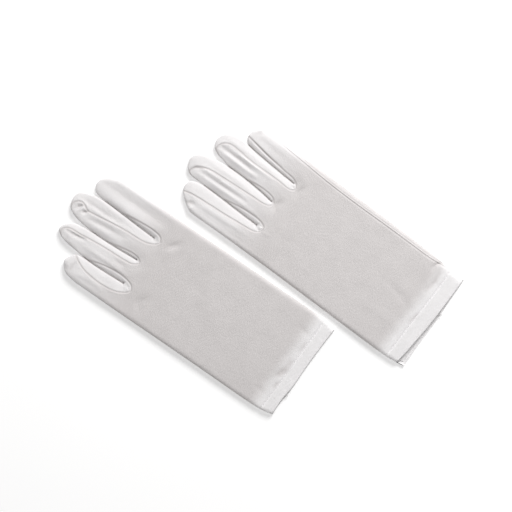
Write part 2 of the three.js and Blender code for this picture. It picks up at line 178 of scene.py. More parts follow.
RIGHT = {
    "side": "right",
    "fold": 159.0,
    "edge_x": -38.7,
    "fingers": ("index", "middle", "ring", "little"),
    "slits": (
        ((-14.2, 155), (-14, 163), (-13.6, 175), (-13, 190), (-12.8, 205)),
        ((7, 156), (8.3, 165.5), (9.3, 177), (9.9, 189.5), (9.9, 199)),
        ((28.2, 150.5), (29, 162.5), (30, 175.5), (31.1, 187.5), (32.3, 196)),
    ),
    "tips": (
        ((-36.8, 0.4), (-38.2, 10), (-38.7, 20), (-38, 60), (-37, 100), (-36.2, 140), (-35.9, 175),
         (-36, 198), (-35.5, 203.3), (-30.6, 211.2), (-25.6, 216.2), (-20.4, 217.7), (-16.2, 216),
         (-13.8, 211)),
        ((-12.4, 218), (-10.4, 222.3), (-6.5, 225), (-2, 226.3), (2, 225.1), (5.2, 221.6), (7.4, 215.6),
         (8.7, 208)),
        ((11, 204), (12.4, 210), (15.2, 215.3), (20.8, 218), (27, 216.6), (31, 212.3), (32.8, 204.5)),
        ((34, 198.2), (37.5, 199.9), (43, 199.3), (47, 196), (49.2, 190), (49.4, 176), (49.2, 155),
         (48.7, 130), (48, 100), (47, 60), (45.5, 25), (44.6, 12), (43.4, 1)),
    ),
    "cuff": ((43.4, 1), (28, 0.8), (8, 0.2), (-14, 0.6), (-29, 0.5), (-36.8, 0.4)),
    "back_cuff": ((-45, 8), (-38, 7.1), (-30, 5.8), (-18, 4.6), (0, 3), (22, 2.2), (38, 1.9), (50, 2.2)),
    "hem_line": ((-45, 17), (-38, 16.4), (-20, 15.8), (0, 15), (30, 13.8), (50, 14)),
    "seams": (
        ((-25.5, 216.2), (-24.2, 211), (-23.4, 205), (-22.9, 198), (-22.4, 188), (-21.9, 178), (-21, 168),
         (-20.4, 160), (-19.4, 153.8), (-16.4, 149.6), (-12.2, 150.2), (-10.2, 155), (-9.9, 165),
         (-10.8, 176), (-12.6, 186)),
        ((-12.4, 218.5), (-10.5, 220.9), (-8, 220.6), (-4.9, 218.8), (-2.2, 214), (-0.6, 208), (0.1, 199),
         (0.6, 189), (1.1, 179), (1.5, 169), (1.9, 160.5), (3.5, 155.6), (6.2, 154), (9.4, 156.2),
         (10.9, 162), (11.1, 171), (9.9, 181)),
        ((12.2, 209.8), (14.9, 214), (18.6, 213.8), (22.3, 211.2), (24.2, 207), (24.1, 199), (23.1, 189),
         (22.8, 180), (22.9, 170), (22.7, 160), (22.4, 150.5), (24.4, 146.7), (27.8, 147.8), (30.6, 151.6),
         (31.8, 161), (33.2, 174), (35.1, 185), (37.5, 199.9)),
    ),
    "side_seam": ((49.2, 184), (47.4, 172), (45.8, 152), (44.3, 132), (43.3, 105), (43, 75), (42.6, 50),
                  (42.3, 34), (43.3, 22), (44.9, 15)),
    "folds": (
        # index finger
        (((-26.6, 205), (-25.8, 185), (-24.8, 160)), 1.9, 0.72),
        (((-32.4, 196), (-32, 175), (-31.6, 150)), 2.6, -0.3),
        (((-34.6, 205), (-32.6, 203)), 1.3, 0.96),
        (((-31, 209), (-28.5, 203)), 1.4, -1.12),
        # middle finger
        (((-8.6, 216), (-8.2, 195), (-7.4, 160)), 1.1, 0.8),
        (((-5.4, 214), (-4.9, 195), (-4.4, 172)), 1.2, -0.8),
        (((-3, 212), (-2.7, 195), (-2, 172)), 0.9, 0.72),
        (((-11.6, 220.4), (-6.4, 219), (-2.2, 212)), 0.8, -0.8),
        (((4.4, 218), (4.8, 198), (4.8, 172)), 1.3, 0.48),
        # ring finger
        (((15.8, 212), (15.4, 195), (15, 178)), 1.0, 1.04),
        (((19, 211), (18.8, 196), (17.6, 180)), 1.2, -1.2),
        (((21.2, 206), (21.2, 188), (20.8, 165)), 1.0, 0.64),
        (((16.2, 182), (14.8, 176)), 0.8, 0.64),
        (((27.6, 213), (27.2, 195), (26, 165)), 1.4, 0.48),
        # little finger
        (((36, 193), (34, 180), (32.6, 165)), 0.8, -0.64),
        (((41, 194), (40, 180), (38.6, 160)), 1.8, -0.4),
        (((42.4, 196), (45.8, 191.6)), 1.6, -0.6),
        # crotches
        (((-13.6, 149.5), (-14.2, 153.5)), 0.7, 0.5),
        (((25.6, 147.4), (27.4, 150.4)), 0.6, 0.5),
        # hand
        (((-15.8, 147.6), (-16.2, 143)), 1.0, 0.3),
        (((2, 149.6), (7, 151.8), (12, 149.6)), 1.8, -0.7),
        (((20, 142.6), (25, 143.4), (30, 141.4)), 2.0, -0.7),
        (((-28, 136), (-12, 139), (0, 134)), 5.0, 0.25),
        (((36, 26.2), (41, 25.4), (45.5, 21.5)), 1.1, -1.2),
        (((28, 29), (36, 31), (43, 33)), 2.6, 0.45),
        (((20, 20.5), (30, 19.2), (38, 20)), 1.3, -0.5),
        (((-8, 16.4), (2, 15.4)), 1.1, -0.35),
        (((2, 24), (6, 36), (8, 48)), 3.0, -0.3),
        (((-16, 18), (-14, 38), (-16, 56)), 4.0, 0.25),
        (((-24, 88), (4, 96), (34, 92)), 8.0, 0.25),
        (((-30, 62), (0, 66), (30, 74)), 8.0, -0.25),
    ),
    "pinches": ((-16.3, 151.9, 0.8, -1.0), (-13.2, 151.8, 0.7, -0.7), (25.6, 148.8, 0.7, -0.7)),
    "thumb": {"base": (-21, 69), "tilt": -9},
    "tail": 11.5,
}

# Seam profile: (distance into the fourchette, half width, height)
FOURCHETTE_SEAM = ((-1.0, 0.9, 0.12), (0.1, 0.55, -0.34), (1.4, 0.9, 0.12))
SIDE_SEAM = ((-0.5, 0.5, -0.35), (0.45, 0.45, 0.3), (1.2, 0.35, -0.35), (1.9, 0.5, 0.3), (2.8, 0.5, -0.2))
HEM_STITCH = ((0.0, 0.7, -0.5), (-1.6, 1.0, 0.12))
PUCKER = 0.35  # share by which the stitches' groove deepens and fills along the hem
DOUBLED = 0.22  # how much the hem's second ply lifts the back
CUFF_FOLD = (0.35, 1.1)  # how far the cuff's fold drops, and over what distance

# Sewing: the length of a stitch, and from one to the next
STITCH = 1.5
STITCH_STEP = 2.7
THREAD_RADIUS = 0.16
STITCH_INSET = 5.0  # the row of stitches stops this far from the sides

# How much painted light whitens the cloth, as a share of the way from the plain knit's colour to the
# painted-light one
# painted light over the fingers
FINGER_PAINTED_LIGHT = 0.72
# painted highlight over the fourchettes, which face the light
FOURCHETTE_PAINTED_HIGHLIGHT = 0.7
KNUCKLES = (138, 185)  # where the fingers' painted light sets in
HEM_FADE = (0.5, 13)  # how far above its stitches the hem's painted light fades
SEAM_SHADE = (0.8, 0.7)  # how much painted shade darkens seams and slits, and how far out
CREASE_SHADE = (0.4, 1.2)  # how much painted shade a millimetre of crease puts on the cloth, and how much more in the hem

# Knit: its plain colour, the lighter colour that painted light mixes in, and the strength of its relief
PLAIN_KNIT = (0.72, 0.69, 0.685)
PAINTED_LIGHT_KNIT = (0.95, 0.935, 0.94)
KNIT_RELIEF = 0.85

# Camera, in metres and degrees: the picture's middle, its width on the table, and the turn
PICTURE_CENTRE = (0.0069, 0.0015)
PICTURE_WIDTH = 0.3934
PICTURE_TURN = -54.54

# Thumb, folded flat under the palm, in its own frame along its length
THUMB_LENGTH = 74.0
THUMB_BASE = 23.0
THUMB_END = 18.5
THUMB_TIP = 11.0
THUMB_ROOT = 14.0  # up to here the thumb's base end is rounded
THUMB_BEND = 60.0  # a place along the thumb; nothing bends the thumb there
THUMB_TOP = 2.2
THUMB_FLOOR = 0.03
THUMB_SEAM = 0.25
THUMB_LINING = 0.06  # how far in from the skin, as a share of the thumb's width
THUMB_REST = 2.65  # the palm's level above the thumb
THUMB_MARGIN = 2.0
THUMB_FALL = 9.0
HOLE_ALONG = 21.0  # middle of the oval hole in the palm, and its half length and half width
HOLE_LENGTH = 16.0
HOLE_WIDTH = 6.5


# ---- Curves and distances ----

def spline(points, step=STEP):
    """A smooth polyline through the points (centripetal Catmull-Rom), with a vertex about every step."""
    p = np.array(points, float)
    chord = np.linalg.norm(np.diff(p, axis=0), axis=1)
    knots = np.concatenate([[0], np.cumsum(np.sqrt(chord))])
    gap = np.diff(knots)[:, None]
    rate = np.diff(p, axis=0) / gap
    inner = (rate[:-1] * gap[1:] + rate[1:] * gap[:-1]) / (gap[1:] + gap[:-1])
    slope = np.vstack([rate[:1], inner, rate[-1:]])
    made = [p[:1]]
    for k, length in enumerate(chord):
        t = np.linspace(0, 1, max(2, math.ceil(length / step) + 1))[1:, None]
        h = gap[k]
        made.append(
            (2 * t**3 - 3 * t**2 + 1) * p[k] + (t**3 - 2 * t**2 + t) * h * slope[k]
            + (3 * t**2 - 2 * t**3) * p[k + 1] + (t**3 - t**2) * h * slope[k + 1]
        )
    return np.vstack(made)


def segment_distance(points, line):
    """Distance of each point from each segment of a polyline, and how far along the segment, 0 to 1."""
    a, b = line[:-1], line[1:]
    d = b - a
    offset = points[:, None, :] - a[None]
    t = np.clip((offset * d).sum(2) / np.maximum((d * d).sum(1), 1e-12), 0, 1)
    return np.linalg.norm(offset - t[..., None] * d, axis=2), t


def in_chunks(function, points, size=1500):
    parts = [function(points[k:k + size]) for k in range(0, len(points), size)]
    return [np.concatenate(column) for column in zip(*parts)]


def nearest(points, line):
    """Distance from a polyline, the length along it of the nearest place, and the side (+ on its left)."""
    lengths = np.concatenate([[0], np.cumsum(np.linalg.norm(np.diff(line, axis=0), axis=1))])
    d = line[1:] - line[:-1]

    def some(part):
        distance, t = segment_distance(part, line)
        k = distance.argmin(1)
        rows = np.arange(len(part))
        offset = part - line[k]
        side = np.sign(d[k, 0] * offset[:, 1] - d[k, 1] * offset[:, 0])
        return distance[rows, k], lengths[k] + t[rows, k] * (lengths[k + 1] - lengths[k]), side

    return in_chunks(some, points)


def share_of_round(points, line, radius):
    """Smallest distance from the polyline over the radius there, one radius for each segment."""
    return in_chunks(lambda part: ((segment_distance(part, line)[0] / radius).min(1),), points)[0]


def rise(share, power):
    """A rounded edge: 0 on the outline, 1 and level from a share of 1 on."""
    return (1 - (1 - np.clip(share, 0, 1)) ** power) ** (1 / power)


def smoothstep(value, low, high):
    t = np.clip((value - low) / (high - low), 0, 1)
    return t * t * (3 - 2 * t)


def bump_profile(distance, profile):
    return sum(height * np.exp(-(((distance - at) / width) ** 2)) for at, width, height in profile)


def inside(points, polygon):
    """Which points lie in a closed polygon, by counting crossings."""
    x, y = points[:, 0], points[:, 1]
    found = np.zeros(len(points), bool)
    for (x0, y0), (x1, y1) in zip(polygon, np.roll(polygon, -1, axis=0)):
        if y0 == y1:
            continue
        crosses = (y0 > y) != (y1 > y)
        found ^= crosses & (x < (x1 - x0) * (y - y0) / (y1 - y0) + x0)
    return found


def beside(line, offset):
    """The polyline's vertices moved sideways, to its left."""
    along = np.gradient(line, axis=0)
    along /= np.maximum(np.linalg.norm(along, axis=1, keepdims=True), 1e-9)
    return line + offset * np.stack([-along[:, 1], along[:, 0]], axis=1)


# ---- The glove seen from above: its lines, its triangulation and its regions ----

class Plan:
    """Lines, triangles and regions of one glove in its own plane."""

    def __init__(self, glove):
        self.glove = glove
        self.side = glove["side"]
        parts = [spline(points) for points in finger_outlines(glove)]
        starts = np.cumsum([0] + [len(part) - 1 for part in parts])
        self.edge = np.vstack([part[:-1] for part in parts] + [parts[-1][-1:]])
        self.feet = [int(k) for k in starts[1:-1]]
        self.cuff = spline(glove["cuff"])
        self.closed = np.vstack([self.edge, self.cuff[1:-1]])
        self.seams = [self.snapped_seam(k) for k in range(len(glove["seams"]))]
        self.back_cuff = spline(glove["back_cuff"])
        self.side_seam = spline(glove["side_seam"]) if glove["side_seam"] else None
        self.hem_line = spline(glove["hem_line"])
        self.oval = thumb_oval(glove)
        self.triangulate()
        self.sort_triangles()

    def snapped_seam(self, k):
        """A fourchette's seam with its ends on the outline, and the outline's indices there."""
        seam = spline(self.glove["seams"][k])
        foot = self.feet[k]
        before = self.edge[:foot]
        after = self.edge[foot + 1:]
        start = int(np.linalg.norm(before - seam[0], axis=1).argmin())
        end = foot + 1 + int(np.linalg.norm(after - seam[-1], axis=1).argmin())
        seam[0], seam[-1] = self.edge[start], self.edge[end]
        return {"line": seam, "start": start, "end": end, "foot": foot}

    def fourchette_polygon(self, seam):
        return np.vstack([seam["line"], self.edge[seam["start"]:seam["end"]][::-1]])

    def finger_polygon(self, k):
        marks = [0, *self.feet, len(self.edge) - 1]
        return self.edge[marks[k]:marks[k + 1] + 1]

    def triangulate(self):
        glove = self.glove
        ring = self.closed
        count = len(ring)
        points = [ring]
        edges = [(k, (k + 1) % count) for k in range(count)]
        offset = count

        def add(line, joined=True, shut=False):
            nonlocal offset
            points.append(line)
            if joined:
                last = len(line) if shut else len(line) - 1
                edges.extend((offset + k, offset + (k + 1) % len(line)) for k in range(last))
            offset += len(line)

        rows = [beside(self.closed, -distance) for distance in EDGE_ROWS]
        lines = [seam["line"] for seam in self.seams]
        if self.side_seam is not None:
            lines.append(self.side_seam)
        fold = np.array([(x, glove["fold"]) for x in np.arange(-60, 60.1, STEP)])
        lengthwise = [self.back_cuff, self.hem_line, fold]
        for line in lines + [self.oval]:
            rows += [beside(line, sign * distance) for distance in SEAM_ROWS for sign in (-1, 1)]
        for line in (self.back_cuff, self.hem_line):
            rows += [beside(line, sign * distance) for distance in SEAM_ROWS[:3] for sign in (-1, 1)]
        for line in lines:
            inner = line[1:-1]
            add(inner)
            edges.append((self.vertex_on_edge(line[0]), offset - len(inner)))
            edges.append((offset - 1, self.vertex_on_edge(line[-1])))
        for line in lengthwise:
            add(line)
        add(self.oval, shut=True)
        loose = np.vstack(rows)
        everything = [self.closed_ring()] + lines + lengthwise + [np.vstack([self.oval, self.oval[:1]])]
        loose = loose[inside(loose, ring)]
        away = np.min([nearest(loose, line)[0] for line in everything], axis=0)
        loose = thinned(loose[away > 0.1])
        grid = hexagonal(ring.min(0), ring.max(0), GRID)
        grid = grid[inside(grid, ring)]
        near_edge = nearest(grid, self.closed_ring())[0]
        near_line = np.min([nearest(grid, line)[0] for line in everything[1:]], axis=0)
        grid = grid[(near_edge > EDGE_ROWS[-1] + 0.6) & (near_line > SEAM_ROWS[-1] + 0.5)]
        add(loose, joined=False)
        add(grid, joined=False)
        flat = [Vector(p) for p in np.vstack(points)]
        out = delaunay_2d_cdt(flat, edges, [], 0, 1e-4, False)
        self.points = np.array([tuple(p) for p in out[0]])
        faces = np.array([f for f in out[2] if len(f) == 3])
        faces = faces[inside(self.points[faces].mean(1), ring)]
        corner = self.points[faces]
        turn = np.cross(corner[:, 1] - corner[:, 0], corner[:, 2] - corner[:, 0])
        faces[turn < 0] = faces[turn < 0][:, ::-1]
        self.faces = faces[np.abs(turn) > 1e-7]

    def closed_ring(self):
        return np.vstack([self.closed, self.closed[:1]])

    def vertex_on_edge(self, point):
        return int(np.linalg.norm(self.closed - point, axis=1).argmin())

    def sort_triangles(self):
        middle = self.points[self.faces].mean(1)
        self.fourchette = np.full(len(self.faces), -1)
        for k, seam in enumerate(self.seams):
            self.fourchette[inside(middle, self.fourchette_polygon(seam))] = k
        self.finger = np.full(len(self.faces), -1)
        above = middle[:, 1] > self.glove["fold"]
        for k in range(len(self.glove["fingers"])):
            self.finger[above & inside(middle, self.finger_polygon(k))] = k
        self.on_back = middle[:, 1] > np.interp(middle[:, 0], *self.back_cuff.T)
        self.on_palm = ~inside(middle, self.oval)
        self.in_hem = middle[:, 1] < np.interp(middle[:, 0], *self.hem_line.T)


def finger_outlines(glove):
    """Each finger's outline, from the foot of the slit on its left to that of the slit on its right."""
    slits = glove["slits"]
    half = SLIT / 2
    outlines = []
    for k, tip in enumerate(glove["tips"]):
        up = [slits[k - 1][0], *((x + half, y) for x, y in slits[k - 1][1:])] if k else []
        down = [slits[k][0], *((x - half, y) for x, y in slits[k][1:])] if k < len(slits) else []
        outlines.append([*up, *tip, *reversed(down)])
    return outlines


def hexagonal(low, high, spacing):
    rows = np.arange(low[1], high[1], spacing * math.sqrt(3) / 2)
    columns = np.arange(low[0], high[0], spacing)
    return np.array([(x + (k % 2) * spacing / 2, y) for k, y in enumerate(rows) for x in columns])


def thinned(points, least=0.3):
    """The points without those that share a small cell with an earlier one."""
    cells = np.round(points / least).astype(int)
    keep = np.unique(cells, axis=0, return_index=True)[1]
    return points[np.sort(keep)]


def turned(points, degrees):
    a = math.radians(degrees)
    c, s = math.cos(a), math.sin(a)
    return points @ np.array([[c, s], [-s, c]])


def thumb_oval(glove):
    """Where the thumb is set into the palm."""
    angles = np.linspace(0, 2 * math.pi, 72, endpoint=False)
    oval = np.stack([HOLE_WIDTH * np.cos(angles), HOLE_ALONG + HOLE_LENGTH * np.sin(angles)], axis=1)
    return turned(oval, glove["thumb"]["tilt"]) + glove["thumb"]["base"]


# ---- Heights of the back and the palm ----

def edge_rounding(plan):
    """How far the back's rounding reaches in, for each segment of the outline."""
    middle = (plan.edge[1:] + plan.edge[:-1]) / 2
    radius = HAND_ROUND + (FINGER_ROUND - HAND_ROUND) * smoothstep(middle[:, 1], *TO_FINGER_ROUND)
    if plan.side_seam is not None:
        outer = np.arange(len(middle)) > plan.feet[-1]
        on_side = outer & (middle[:, 0] > 40) & (middle[:, 1] < 192)
        radius[on_side] = SIDE_ROLL
    return radius


def back_height(plan):
    p = plan.points
    y = p[:, 1]
    rounding = edge_rounding(plan)
    sides = np.ones(len(plan.edge) - 1, bool)
    shares = []
    for seam in plan.seams:
        sides[seam["start"]:seam["foot"]] = False
        strip = plan.edge[seam["start"]:seam["foot"] + 1]
        shares.append(share_of_round(p, strip, np.full(len(strip) - 1, FOURCHETTE_ROUND)))
    plain = np.full(len(p), FAR_INSIDE)
    for run in runs_of(sides):
        strip = plan.edge[run.start:run.stop + 1]
        plain = np.minimum(plain, share_of_round(p, strip, rounding[run]))
    level = rise(plain, BACK_CURVE)
    for share in shares:
        dive = rise(share * FOURCHETTE_ROUND / FOURCHETTE_DIVE, 2)
        level = np.minimum(level, (1 - DIVE_SHARE) * rise(share, FOURCHETTE_CURVE) + DIVE_SHARE * dive)
    top = HAND_TOP + (FINGER_TOP - HAND_TOP) * smoothstep(y, *TO_FINGER_TOP)
    top += (CUFF_TOP - HAND_TOP) * (1 - smoothstep(y, *CUFF_TO_HAND))
    low = edge_height(plan, p)
    relief = seam_relief(plan) + fold_relief(plan.glove, p) + swell(p, plan.side)
    relief += hem_relief(plan)
    return low + (top - low) * level + relief * np.minimum(1, level * 1.15)


def edge_height(plan, points):
    """The outline's height, carried inwards: lower in the slits, where the cloth is pulled down."""
    height = HAND_EDGE + (FINGER_EDGE - HAND_EDGE) * smoothstep(points[:, 1], *TO_FINGER_EDGE)
    for slit in plan.glove["slits"]:
        distance, along, _ = nearest(points, spline(slit))
        near = (1 - smoothstep(distance, *SLIT_SIDES)) * (1 - smoothstep(along, *SLIT_FADE))
        height += (SLIT_EDGE - height) * near
    return height


def runs_of(flags):
    """Slices over the stretches of true flags."""
    runs = []
    start = None
    for k, flag in enumerate([*flags, False]):
        if flag and start is None:
            start = k
        if not flag and start is not None:
            runs.append(slice(start, k))
            start = None
    return runs


def seam_relief(plan):
    relief = np.zeros(len(plan.points))
    for seam in plan.seams:
        distance = nearest(plan.points, seam["line"])[0]
        within = inside(plan.points, plan.fourchette_polygon(seam))
        relief += bump_profile(np.where(within, distance, -distance), FOURCHETTE_SEAM)
    if plan.side_seam is not None:
        distance, _, side = nearest(plan.points, plan.side_seam)
        relief += bump_profile(distance * np.where(side >= 0, 1, -1), SIDE_SEAM)
    return relief


def hem_relief(plan):
    distance, along, side = nearest(plan.points, plan.hem_line)
    signed = distance * np.where(side >= 0, 1, -1)
    pucker = 1 + PUCKER * np.cos(along * 2 * math.pi / STITCH_STEP)
    cuff = nearest(plan.points, plan.back_cuff)[0]
    fold = -CUFF_FOLD[0] * (1 - rise(cuff / CUFF_FOLD[1], 2))
    double = DOUBLED * (1 - smoothstep(signed, -0.6, 0.3))
    return bump_profile(signed, HEM_STITCH) * pucker + double + fold


def fold_relief(glove, points):
    """Soft folds and pinches in the cloth, each fading out at its ends."""
    relief = np.zeros(len(points))
    for line, width, height in glove["folds"]:
        path = spline(line, 2.0)
        distance, along, _ = nearest(points, path)
        length = np.linalg.norm(np.diff(path, axis=0), axis=1).sum()
        fade = np.sin(math.pi * np.clip(0.12 + 0.76 * along / length, 0, 1))
        relief += height * fade * np.exp(-((distance / width) ** 2))
    for x, y, radius, height in glove["pinches"]:
        relief += height * np.exp(-(((points[:, 0] - x) ** 2 + (points[:, 1] - y) ** 2) / radius**2))
    return relief


def swell(points, side):
    """The slack cloth's faint waves, the same on each run."""
    shift = 40.0 if side == "right" else 0.0
    waves = ((26.0, 0.22), (9.0, 0.09), (4.2, 0.035))
    return np.array([
        sum(size * noise.noise(((x + shift) / scale, y / (scale * 1.3), 0.7)) for scale, size in waves)
        for x, y in points
    ])


def thumb_share(glove, points):
    """1 over the folded thumb, falling to 0 round it."""
    local = turned(points - np.array(glove["thumb"]["base"], float), -glove["thumb"]["tilt"])
    along = np.clip(local[:, 1], 0, THUMB_LENGTH - THUMB_END / 2)
    off = np.hypot(local[:, 0], local[:, 1] - along)
    return 1 - smoothstep(off - THUMB_BASE / 2 - THUMB_MARGIN, 0, THUMB_FALL)


def palm_height(plan):
    p = plan.points
    share = share_of_round(p, plan.edge, np.full(len(plan.edge) - 1, PALM_ROUND))
    level = 1 - rise(share, 2)
    edge = edge_height(plan, p)
    height = PALM_REST + (edge - PALM_REST) * level
    over_thumb = PALM_REST + (THUMB_REST - PALM_REST) * thumb_share(plan.glove, p)
    raised = edge * level + over_thumb * (1 - level)
    height = np.maximum(height, np.minimum(over_thumb, raised))
    for seam in plan.seams:
        height += PALM_SEAM * np.exp(-((nearest(p, seam["line"])[0] / 0.6) ** 2)) * (1 - level)
    height += PALM_SEAM * np.exp(-((nearest(p, plan.hem_line)[0] / 0.7) ** 2)) * (1 - level)
    return height


# ---- The glove's one surface, and the pieces cut from it ----

class Surface:
    """The glove's outer surface: the back's vertices, then the palm's, joined at the outline."""

    def __init__(self, plan):
        self.plan = plan
        count = len(plan.points)
        back = np.column_stack([plan.points, back_height(plan)])
        palm = np.column_stack([plan.points, palm_height(plan)])
        distance = nearest(plan.points, plan.edge)[0]
        on_outline = distance < 1e-4
        palm[on_outline, 2] = back[on_outline, 2] = edge_height(plan, plan.points[on_outline])
        mate = np.arange(count) + count
        mate[on_outline] = np.flatnonzero(on_outline)
        self.vertices = np.vstack([back, palm])
        self.mate = mate
        self.back_faces = plan.faces
        self.palm_faces = mate[plan.faces][:, ::-1]
        self.count = count
        self.normals = self.smooth_normals()
        # painted light and shade, the same for back and palm
        self.painted_light_and_shade = np.tile(painted_light_and_shade(plan), 2)
        self.cuff_distance = np.concatenate([
            nearest(plan.points, plan.back_cuff)[0], nearest(plan.points, plan.cuff)[0]
        ])

    def smooth_normals(self):
        faces = np.vstack([self.back_faces[self.plan.on_back], self.palm_faces[self.plan.on_palm]])
        corner = self.vertices[faces]
        turn = np.cross(corner[:, 1] - corner[:, 0], corner[:, 2] - corner[:, 0])
        normals = np.zeros_like(self.vertices)
        for k in range(3):
            np.add.at(normals, faces[:, k], turn)
        length = np.linalg.norm(normals, axis=1, keepdims=True)
        return normals / np.maximum(length, 1e-12)

    def piece(self, name, back, palm, depths, material):
        """A cloth piece of the chosen triangles of back and palm, between two depths under the surface."""
        faces = np.vstack([self.back_faces[back], self.palm_faces[palm]])
        used, faces = np.unique(faces, return_inverse=True)
        faces = faces.reshape(-1, 3)
        outer, inner = depths
        vertex, normal = self.vertices[used], self.normals[used]
        near_cuff = self.cuff_distance[used]
        if np.isscalar(inner):
            inner = np.full(len(used), inner)
            if outer == 0:
                inner += (HEM_PLY[1] - CLOTH) * (1 - smoothstep(near_cuff, *CUFF_THICK))
        top = vertex - normal * outer
        bottom = vertex - normal * inner[:, None]
        count = len(used)
        rim = boundary(faces)
        sides = np.array([(b, a, a + count, b + count) for a, b in rim])
        flats = np.vstack([faces, faces[:, ::-1] + count])
        smooth = np.vstack([normal, -normal])
        open_cuff = np.zeros(count, bool)
        on_rim = np.unique([v for edge in rim for v in edge])
        open_cuff[on_rim] = near_cuff[on_rim] < 0.05
        smooth[np.concatenate([open_cuff, open_cuff])] = 0
        flat = np.vstack([vertex[:, :2], vertex[:, :2]])
        # painted light and shade on both faces of the piece
        painted_light = np.tile(self.painted_light_and_shade[used], 2)
        return make_mesh(name, np.vstack([top, bottom]), [*flats.tolist(), *sides.tolist()], flat,
                         self.plan.glove, material, smooth, painted_light)


def painted_light_and_shade(plan):
    """Painted light and shade: lighter over the fingers, the fourchettes and the hem, darker at seams,
    slits and creases.
    """
    points = plan.points
    # Painted light: the fingers are lightened from the knuckles up.
    painted_light = FINGER_PAINTED_LIGHT * smoothstep(points[:, 1], *KNUCKLES)
    # Painted highlight: the fourchettes, which face the light, are lightened.
    for seam in plan.seams:
        painted_light[inside(points, plan.fourchette_polygon(seam))] = FOURCHETTE_PAINTED_HIGHLIGHT
    # Painted light: the hem band is lightened, fading above its stitches.
    distance, _, side = nearest(points, plan.hem_line)
    hem = 1 - smoothstep(distance * side, *HEM_FADE)
    painted_light = np.maximum(painted_light, hem)
    # Painted shade: darker along the seams and the slits.
    depth, width = SEAM_SHADE
    for line in [seam["line"] for seam in plan.seams] + [spline(slit) for slit in plan.glove["slits"]]:
        painted_light -= depth * np.exp(-((nearest(points, line)[0] / width) ** 2))
    # Painted shade: darker in the creases, more in the hem.
    shade, more_in_hem = CREASE_SHADE
    painted_light += (shade + more_in_hem * hem) * np.minimum(fold_relief(plan.glove, points), 0)
    return np.clip(painted_light, 0, 1)


def cut_size(plan, back, palm):
    """The flat mean width of a piece's cloth, its plies side by side, and its flat length, in metres."""
    corner = plan.points[plan.faces]
    areas = np.cross(corner[:, 1] - corner[:, 0], corner[:, 2] - corner[:, 0]) / 2 * MM**2
    length = np.ptp(corner[back | palm][..., 1]) * MM
    return (areas[back].sum() + areas[palm].sum()) / length, length


def boundary(faces):
    """The directed edges with a triangle on one side only."""
    edges = np.vstack([faces[:, [0, 1]], faces[:, [1, 2]], faces[:, [2, 0]]])
    present = {(a, b) for a, b in edges.tolist()}
    return [(a, b) for a, b in present if (b, a) not in present]


def make_mesh(name, vertices, faces, flat, glove, material, normals=None, painted_light=None):
    """A mesh object in the row frame, in metres, with the cloth's own flat coordinates in its UV map."""
    mesh = bpy.data.meshes.new(name)
    mesh.from_pydata(((vertices + glove["origin"]) * MM).tolist(), [], faces)
    mesh.polygons.foreach_set("use_smooth", [True] * len(mesh.polygons))
    layer = mesh.uv_layers.new(name="Cloth")
    corners = np.zeros(len(mesh.loops), int)
    mesh.loops.foreach_get("vertex_index", corners)
    layer.data.foreach_set("uv", (flat[corners] / 100).ravel())
    mesh.materials.append(material)
    # painted light and shade, kept as a point attribute
    if painted_light is not None:
        mesh.attributes.new("PaintedLightAndShade", "FLOAT", "POINT").data.foreach_set("value", painted_light)
    mesh.validate()
    if normals is not None:
        mesh.normals_split_custom_set_from_vertices(normals.tolist())
    obj = bpy.data.objects.new(name, mesh)
    bpy.context.scene.collection.objects.link(obj)
    return obj


# ---- Materials ----

